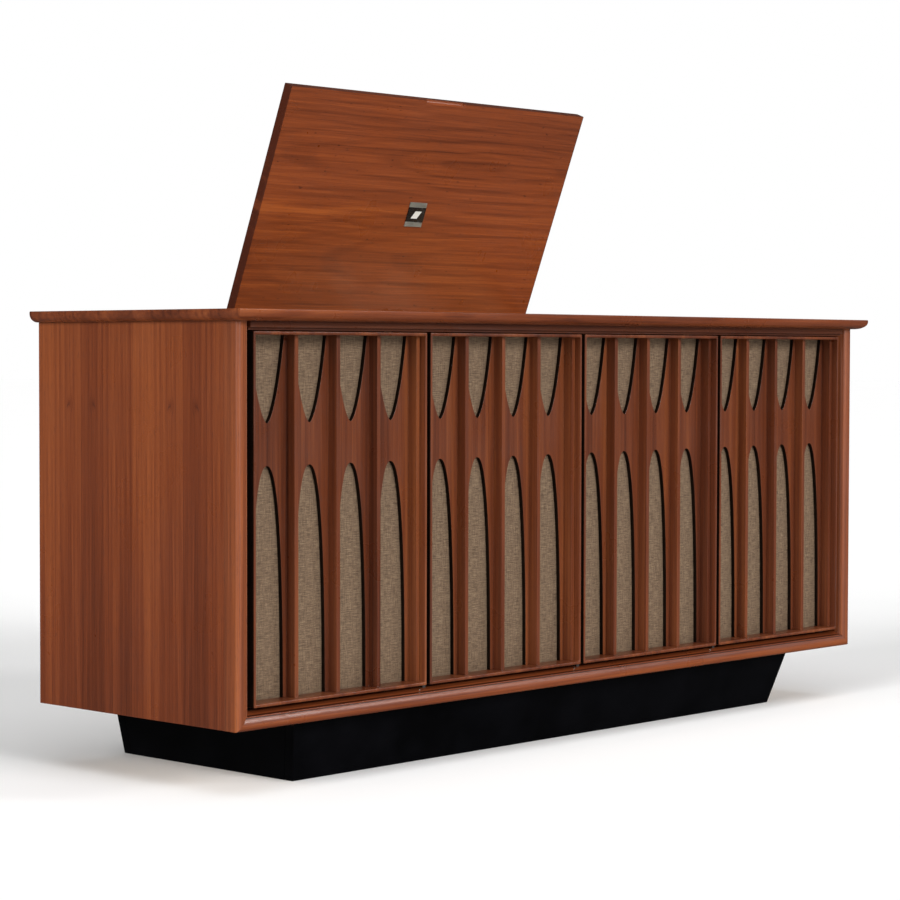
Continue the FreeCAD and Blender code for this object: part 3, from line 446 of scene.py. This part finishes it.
SPECIAL = {"left_side_panel": "side_walnut", "right_side_panel": "side_walnut",
           # top_front_rail: darkened walnut as painted shade under the slab.
           "bottom_front_rail": "rail_walnut", "top_front_rail": "top_rail_walnut_painted_shade",
           # front_mullions: black as painted shade in the gaps between the panels; the baffles are painted
           # black.
           "speaker_baffles": "baffle_black_and_gap_shade", "front_mullions": "baffle_black_and_gap_shade"}


def material_of(node):
    if node.startswith("grille_f"):
        return fret_woods[int(node[-1]) - 1]
    return materials[SPECIAL.get(node, SLOT_OF[node])]


for name, thing in nodes.items():
    thing.data.materials.clear()
    thing.data.materials.append(material_of(name))


# ---------------------------------------------------------------- mesh helpers

def add_piece(name, mesh, body, surfaces):
    """Put a mesh in the scene as a piece that rides on a CAD body."""
    thing = bpy.data.objects.new(name, mesh)
    scene.collection.objects.link(thing)
    for surface in surfaces:
        mesh.materials.append(surface)
    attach(thing, body)
    return thing


def mesh_of(name, shape):
    mesh = bpy.data.meshes.new(name)
    shape.to_mesh(mesh)
    shape.free()
    return mesh


def smooth(thing, degrees=35):
    """Shade curved faces smoothly, keep the edges sharper than the angle, and let the larger
    faces decide, so that a flat face beside a rounded edge still looks flat."""
    mesh = thing.data
    touching = [[] for _ in mesh.vertices]
    for face in mesh.polygons:
        face.use_smooth = True
        for vertex in face.vertices:
            touching[vertex].append(face)
    limit = math.cos(math.radians(degrees))
    normals = []
    for face in mesh.polygons:
        for vertex in face.vertices:
            total = Vector(face.normal) * face.area
            for other in touching[vertex]:
                if other.index != face.index and other.normal.dot(face.normal) > limit:
                    total += other.normal * other.area
            normals.append(total.normalized() if total.length > 0 else Vector(face.normal))
    mesh.normals_split_custom_set(normals)


def add_bar(shape, low, high):
    """A thin bar between two opposite corners."""
    made = bmesh.ops.create_cube(shape, size=1)["verts"]
    for vert in made:
        for axis in range(3):
            middle = (low[axis] + high[axis]) / 2
            vert.co[axis] = middle + vert.co[axis] * (high[axis] - low[axis])


WELD = 0.00001
FLAT = math.radians(0.5)
SHARP = math.radians(38)


def eased(node, width, segments=2, surfaces=None):
    """A copy of a CAD node with its sharp edges rounded, which stands for the node."""
    shape = bmesh.new()
    shape.from_mesh(nodes[node].data)
    bmesh.ops.remove_doubles(shape, verts=shape.verts, dist=WELD)
    bmesh.ops.dissolve_limit(shape, angle_limit=FLAT, verts=shape.verts, edges=shape.edges)
    sharp = [edge for edge in shape.edges
             if len(edge.link_faces) == 2 and edge.calc_face_angle() > SHARP]
    bmesh.ops.bevel(shape, geom=sharp, offset=width, segments=segments, profile=0.5, affect="EDGES",
                    clamp_overlap=True)
    body = nodes[node]["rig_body"]
    thing = add_piece(node + "_eased", mesh_of(node + "_eased", shape), body,
                      surfaces or [material_of(node)])
    smooth(thing)
    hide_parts(node)
    return thing


def blacken_openings(thing, front, back):
    """Give the cut walls of the pierced board the black edge finish."""
    for face in thing.data.polygons:
        if front < face.center.y < back and abs(face.normal.y) < 0.4:
            face.material_index = 1


def blacken_flanks(thing, middle, half, depth):
    """Paint a frame's outer side walls, behind the rounded lip, black as painted shade in the gap beside the
    frame.
    """
    for face in thing.data.polygons:
        if abs(face.center.x - middle) > half and face.center.y > depth:
            face.material_index = 1


# ---------------------------------------------------------------- cabinet

FRET_THICK = 0.007
FRET_BACK = round(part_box("grille_fret_1")[1].y, 6)
FRET_FRONT = FRET_BACK - FRET_THICK
PANEL_PITCH = 0.370
FLANK_IN = 0.1805
FLANK_FRONT = -0.2095

for name, width in (("top_slab", 0.0008), ("left_side_panel", 0.0005), ("right_side_panel", 0.0005),
                    ("left_corner_post", 0.0006), ("right_corner_post", 0.0006),
                    ("bottom_front_rail", 0.0006), ("lid_panel", 0.0008), ("plinth_front", 0.0012),
                    ("plinth_back", 0.0012), ("plinth_ends", 0.0010), ("front_mullions", 0.0008)):
    eased(name, width)
for number in PANELS:
    grille = eased("grille_frame_%d" % number, 0.0017, segments=4,
                   surfaces=[fret_woods[number - 1], edge_black_and_flank_shade])
    # The frames' outer side walls are painted black as shade in the gaps.
    blacken_flanks(grille, PANEL_PITCH * (number - 2.5), FLANK_IN, FLANK_FRONT)
    fret = eased("grille_fret_%d" % number, 0.0010, segments=3,
                 surfaces=[fret_woods[number - 1], edge_black_and_flank_shade])
    blacken_openings(fret, FRET_FRONT, FRET_BACK)


# ---------------------------------------------------------------- grille cloth

CLOTH_STEP = 0.006
CLOTH_CLEAR = 0.0001
RIPPLES = (41, 17)
RIPPLE_DEPTH = 0.00012
RIPPLE_MEAN = 0.00015


def grille_cloth(number):
    """One stretched sheet, pulled slightly in and out between the openings' edges."""
    low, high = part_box("grille_cloth_%d" % number)
    columns = round((high.x - low.x) / CLOTH_STEP)
    rows = round((high.z - low.z) / CLOTH_STEP)
    shape = bmesh.new()
    grid = []
    for row in range(rows + 1):
        line = []
        for column in range(columns + 1):
            across = column / columns
            up = row / rows
            ripple = math.sin(across * RIPPLES[0] + number) * math.sin(up * RIPPLES[1] + number * 2)
            slack = RIPPLE_DEPTH * ripple + RIPPLE_MEAN
            line.append(shape.verts.new((low.x + across * (high.x - low.x), low.y + CLOTH_CLEAR + slack,
                                         low.z + up * (high.z - low.z))))
        grid.append(line)
    for lower, upper in zip(grid, grid[1:]):
        for index in range(columns):
            shape.faces.new((lower[index], lower[index + 1], upper[index + 1], upper[index]))
    cloth = add_piece("tweed_%d" % number, mesh_of("tweed_%d" % number, shape), "cabinet",
                      [materials["grille_cloth"]])
    smooth(cloth)
    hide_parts("grille_cloth_%d" % number)


for number in PANELS:
    grille_cloth(number)


# ---------------------------------------------------------------- badge

BADGE_ALONG = 0.192
BADGE_BACK = 0.0208
BADGE_HALF = 0.021
BAND_STARTS = (-0.022, 0.013)
BAND_HIGH = 0.009
BAND_RIBS = 5
RIB_STEPS = 6
PLATE_HALF = 0.013
LOZENGE = ((-0.0115, -0.0065), (0.0035, -0.0065), (0.0115, 0.0065), (-0.0035, 0.0065))


def lid_point(across, along, out):
    """A point on the lid's inner face, from its middle line, the hinge and the surface."""
    return HINGE + (LID_MIDDLE + across) * X_AXIS + along * LID_UP + (BADGE_BACK + out) * LID_IN


def swept(shape, outline):
    """A closed outline of (along, out) points carried across the badge, with capped ends."""
    rings = [[shape.verts.new(lid_point(side * BADGE_HALF, along, out)) for along, out in outline]
             for side in (-1, 1)]
    count = len(outline)
    for index in range(count):
        after = (index + 1) % count
        shape.faces.new((rings[0][index], rings[0][after], rings[1][after], rings[1][index]))
    shape.faces.new(rings[0])
    shape.faces.new(rings[1])


def ribbed_outline(low, high, ribs, base, crest):
    """The side view of a band of round ribs on a flat back."""
    step = (high - low) / (ribs * RIB_STEPS)
    top = [(low + step * index, base + (crest - base) * abs(math.sin(math.pi * index / RIB_STEPS)))
           for index in range(ribs * RIB_STEPS + 1)]
    return [(low, 0.0)] + top + [(high, 0.0)]


def badge_part(name, outlines, surface):
    shape = bmesh.new()
    for outline in outlines:
        swept(shape, outline)
    bmesh.ops.recalc_face_normals(shape, faces=shape.faces)
    part = add_piece(name, mesh_of(name, shape), "lid", [surface])
    smooth(part, 40)
    return part


def plate_outline(low, high, base, crest, chamfer):
    return [(low, base), (low, crest - chamfer), (low + chamfer, crest), (high - chamfer, crest),
            (high, crest - chamfer), (high, base)]


def make_badge():
    """Two bands of silver ribs above and below a bare black plate with a thin pale lozenge."""
    bands = [ribbed_outline(BADGE_ALONG + start, BADGE_ALONG + start + BAND_HIGH, BAND_RIBS, 0.0006, 0.0013)
             for start in BAND_STARTS]
    silver = badge_part("badge_bands", bands, materials["silver_badge"])
    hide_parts("lid_badge")
    plate = plate_outline(BADGE_ALONG - PLATE_HALF, BADGE_ALONG + PLATE_HALF, 0.0, 0.0017, 0.0003)
    badge_part("badge_plate", [plate], badge_black)
    lozenge = bmesh.new()
    ring = [[lozenge.verts.new(lid_point(across, BADGE_ALONG + along, out)) for across, along in LOZENGE]
            for out in (0.0016, 0.0019)]
    lozenge.faces.new(ring[0])
    lozenge.faces.new(ring[1])
    for index in range(len(LOZENGE)):
        after = (index + 1) % len(LOZENGE)
        lozenge.faces.new((ring[0][index], ring[0][after], ring[1][after], ring[1][index]))
    bmesh.ops.recalc_face_normals(lozenge, faces=lozenge.faces)
    add_piece("badge_lozenge", mesh_of("badge_lozenge", lozenge), "lid", [badge_light])


make_badge()


# ---------------------------------------------------------------- turned pieces

def lathe(name, centre, outline, body, surfaces, steps=96, flutes=0, depth=0.0):
    """Turn an outline of (radius, height, fluted) about an upright axis; a fluted point's radius
    is cut by that many hollows. The outline starts and ends on the axis, or closes on itself."""
    shape = bmesh.new()
    rings = []
    for radius, height, fluted in outline:
        if radius == 0:
            rings.append([shape.verts.new((centre[0], centre[1], centre[2] + height))] * steps)
            continue
        ring = []
        for step in range(steps):
            angle = 2 * math.pi * step / steps
            reach = radius - (depth * abs(math.sin(angle * flutes / 2)) if fluted else 0.0)
            ring.append(shape.verts.new((centre[0] + reach * math.cos(angle),
                                         centre[1] + reach * math.sin(angle), centre[2] + height)))
        rings.append(ring)
    closed = outline[0][0] != 0
    for lower, upper in zip(rings, rings[1:] + (rings[:1] if closed else [])):
        for step in range(steps):
            after = (step + 1) % steps
            corners = [lower[step], lower[after], upper[after], upper[step]]
            shape.faces.new(list(dict.fromkeys(corners)))
    bmesh.ops.recalc_face_normals(shape, faces=shape.faces)
    thing = add_piece(name, mesh_of(name, shape), body, surfaces)
    smooth(thing, 40)
    return thing


PANEL_TOP = top_of("control_panel")
TONE_KNOB = 0.017
KNOB_RADII = {"volume": TONE_KNOB, "balance": TONE_KNOB, "bass": TONE_KNOB, "treble": TONE_KNOB,
              "selector": 0.0204, "tuning": 0.02465}
KNOBS = {name + "_knob": (*JOINTS[name + "_turn"]["pos_m"][:2], radius)
         for name, radius in KNOB_RADII.items()}


def make_knob(node, across, back, radius):
    """A fluted knob on its shaft, with a spun metal cap and a painted line."""
    outline = [(0, -0.080, 0), (0.003, -0.080, 0), (0.003, 0.001, 0), (radius + 0.003, 0.001, 0),
               (radius + 0.003, 0.0024, 0), (radius + 0.0022, 0.0030, 0), (radius, 0.0040, 1),
               (radius - 0.0006, 0.0145, 1), (radius - 0.0016, 0.0160, 0), (radius - 0.0032, 0.0168, 0),
               (radius - 0.0048, 0.0160, 0), (0, 0.0160, 0)]
    body = nodes[node]["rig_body"]
    knob = lathe(node + "_fluted", (across, back, PANEL_TOP), outline, body,
                 [materials["knob_plastic"]], steps=144, flutes=36, depth=0.0008)
    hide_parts(node)
    cap = [(0, 0.0160, 0), (radius - 0.0056, 0.0160, 0), (radius - 0.0056, 0.0164, 0),
           (radius - 0.0066, 0.0169, 0), (0, 0.0165, 0)]
    lathe(node + "_cap", (across, back, PANEL_TOP), cap, body, [materials["brass"]])
    line = bmesh.new()
    add_bar(line, (across - 0.0005, back + radius * 0.2, PANEL_TOP + 0.0164),
            (across + 0.0005, back + radius - 0.0066, PANEL_TOP + 0.01715))
    add_piece(node + "_line", mesh_of(node + "_line", line), body, [badge_black])


for node, (across, back, radius) in KNOBS.items():
    make_knob(node, across, back, radius)


# ---------------------------------------------------------------- record changer

SPINDLE = JOINTS["platter_spin"]["pos_m"][:2]
PLATTER = 0.133
MAT_DATUM = 0.600
RING_STEP = 0.0052


def make_mat():
    """A rubber mat with raised rings; its heights count from MAT_DATUM."""
    outline = [(0.007, 0.0100, 0), (0.007, 0.0122, 0)]
    radius = 0.010
    while radius < PLATTER - 0.013:
        outline += [(radius, 0.0122, 0), (radius + 0.0008, 0.0130, 0), (radius + 0.0030, 0.0130, 0),
                    (radius + 0.0038, 0.0122, 0)]
        radius += RING_STEP
    outline += [(PLATTER - 0.009, 0.0130, 0), (PLATTER - 0.007, 0.0126, 0), (PLATTER - 0.006, 0.0118, 0),
                (PLATTER - 0.006, 0.0100, 0)]
    mat = lathe("platter_mat_rings", (*SPINDLE, MAT_DATUM), outline, "platter",
                [materials["mat_rubber"]], steps=128)
    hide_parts("platter_mat")


make_mat()
for name, width, segments in (("tonearm", 0.0016, 3), ("record_support_arm", 0.0014, 3),
                              ("tonearm_turret", 0.0006, 2), ("changer_baseplate", 0.0008, 2),
                              ("changer_lever", 0.0010, 3), ("control_panel", 0.0009, 3),
                              ("platter", 0.0004, 2), ("hinge_cabinet_leaves", 0.0003, 2),
                              ("hinge_lid_leaves", 0.0003, 2), ("back_panel_screws", 0.0004, 2)):
    eased(name, width, segments)


# ---------------------------------------------------------------- printed marks

DIAL = middle_of("dial_scale")
DIAL_TOP = top_of("dial_scale")
PRINT_THICK = 0.0002
SCALE_GAPS = 40
MEDIUM_WAVE = (55, 60, 70, 80, 100, 120, 140, 160)
FM_BAND = (88, 92, 96, 100, 104, 108)


def add_text(shape, words, place, size):
    """Flat letters with a little thickness, laid on a level surface."""
    curve = bpy.data.curves.new("letters", "FONT")
    curve.body = words
    curve.size = size
    curve.align_x = "CENTER"
    curve.align_y = "CENTER"
    curve.extrude = PRINT_THICK / 2
    curve.resolution_u = 2
    holder = bpy.data.objects.new("letters", curve)
    scene.collection.objects.link(holder)
    bpy.context.view_layer.update()
    mesh = bpy.data.meshes.new_from_object(holder)
    bpy.data.objects.remove(holder)
    mesh.transform(Matrix.Translation((place[0], place[1], place[2] + PRINT_THICK / 2)))
    shape.from_mesh(mesh)
    bpy.data.meshes.remove(mesh)


def make_dial_print():
    """Two tuning scales with plain numbers, one above the middle line and one below it."""
    shape = bmesh.new()
    top = DIAL_TOP + PRINT_THICK
    for side, numbers in ((1, MEDIUM_WAVE), (-1, FM_BAND)):
        line = DIAL[1] + 0.005 * side
        add_bar(shape, (DIAL[0] - 0.118, line - 0.0003, DIAL_TOP), (DIAL[0] + 0.118, line + 0.0003, top))
        for tick in range(SCALE_GAPS + 1):
            across = DIAL[0] - 0.115 + 0.230 * tick / SCALE_GAPS
            reach = 0.004 if tick % 5 == 0 else 0.002
            end = line + reach * side
            add_bar(shape, (across - 0.0002, min(line, end), DIAL_TOP),
                    (across + 0.0002, max(line, end), top))
        for index, number in enumerate(numbers):
            across = DIAL[0] - 0.110 + 0.220 * index / (len(numbers) - 1)
            add_text(shape, str(number), (across, DIAL[1] + 0.016 * side, DIAL_TOP), 0.0075)
    bmesh.ops.recalc_face_normals(shape, faces=shape.faces)
    add_piece("dial_marks", mesh_of("dial_marks", shape), "cabinet", [print_white])


TICK_HALF = 0.0006


def make_knob_marks():
    """A ring of ticks round each knob, printed on the control panel."""
    shape = bmesh.new()
    for across, back, radius in KNOBS.values():
        for tick in range(11):
            angle = math.radians(-60 + 30 * tick)
            for step in range(3):
                reach = radius + 0.0056 + 0.0010 * step
                middle = (across + reach * math.cos(angle), back + reach * math.sin(angle))
                add_bar(shape, (middle[0] - TICK_HALF, middle[1] - TICK_HALF, PANEL_TOP),
                        (middle[0] + TICK_HALF, middle[1] + TICK_HALF, PANEL_TOP + PRINT_THICK))
    add_piece("knob_marks", mesh_of("knob_marks", shape), "cabinet", [badge_black])


make_dial_print()
make_knob_marks()


# ---------------------------------------------------------------- stage

def look_from(place, yaw, pitch, roll):
    """A camera matrix from compass-like angles in degrees; yaw runs from +Y towards +X."""
    yaw, pitch, roll = (math.radians(angle) for angle in (yaw, pitch, roll))
    forward = Vector((math.sin(yaw) * math.cos(pitch), math.cos(yaw) * math.cos(pitch), math.sin(pitch)))
    level = Vector((math.cos(yaw), -math.sin(yaw), 0))
    upright = level.cross(forward)
    right = math.cos(roll) * level + math.sin(roll) * upright
    top = -math.sin(roll) * level + math.cos(roll) * upright
    turn = Matrix((right, top, -forward)).transposed().to_4x4()
    return Matrix.Translation(place) @ turn


CAMERA_PLACE = (-3.2179, -2.9193, 0.6448)
CAMERA_ANGLES = (46.924, -2.1935, 0.1206)
LENS = 101.71


def make_camera():
    camera = bpy.data.objects.new("camera", bpy.data.cameras.new("camera"))
    camera.data.lens = LENS
    camera.data.sensor_width = 36
    camera.data.clip_end = 60
    camera.matrix_world = look_from(CAMERA_PLACE, *CAMERA_ANGLES)
    scene.collection.objects.link(camera)
    scene.camera = camera


def make_sun(name, toward, strength, spread):
    """Soft parallel light that comes from the direction toward."""
    lamp = bpy.data.lights.new(name, "SUN")
    lamp.energy = strength
    lamp.angle = math.radians(spread)
    thing = bpy.data.objects.new(name, lamp)
    thing.matrix_world = Vector(toward).to_track_quat("Z", "Y").to_matrix().to_4x4()
    scene.collection.objects.link(thing)


FLOOR_HALF = 70


def make_floor():
    """A pale floor that the lacquer doesn't mirror."""
    shape = bmesh.new()
    bmesh.ops.create_grid(shape, x_segments=8, y_segments=8, size=FLOOR_HALF)
    mesh = mesh_of("floor", shape)
    mesh.materials.append(floor_paper("floor_paper"))
    floor = bpy.data.objects.new("floor", mesh)
    floor.visible_glossy = False
    scene.collection.objects.link(floor)


FILL = 0.14
GLEAM = 0.07
BACKDROP = 1.0


def make_world():
    """White behind the object, a softer fill for its surfaces, and dim in its reflections."""
    world = bpy.data.worlds.new("studio")
    world.use_nodes = True
    tree = world.node_tree
    background = tree.nodes["Background"]
    background.inputs[0].default_value = (1, 1, 1, 1)
    ray = tree.nodes.new("ShaderNodeLightPath")
    level = FILL
    for output, strength in (("Is Glossy Ray", GLEAM), ("Is Camera Ray", BACKDROP)):
        choose = tree.nodes.new("ShaderNodeMix")
        tree.links.new(ray.outputs[output], choose.inputs[0])
        if isinstance(level, float):
            choose.inputs[2].default_value = level
        else:
            tree.links.new(level, choose.inputs[2])
        choose.inputs[3].default_value = strength
        level = choose.outputs[0]
    tree.links.new(level, background.inputs[1])
    scene.world = world


SUNS = {"key": ((0.02, -0.92, 0.36), 2.5, 26), "side": ((-1.0, -0.16, 0.42), 2.3, 26),
        "rim": ((0.62, -0.70, 0.38), 0.75, 12), "overhead": ((-0.10, -0.25, 1.0), 1.1, 50)}

make_camera()
make_floor()
make_world()
for name, (toward, strength, spread) in SUNS.items():
    make_sun(name, toward, strength, spread)
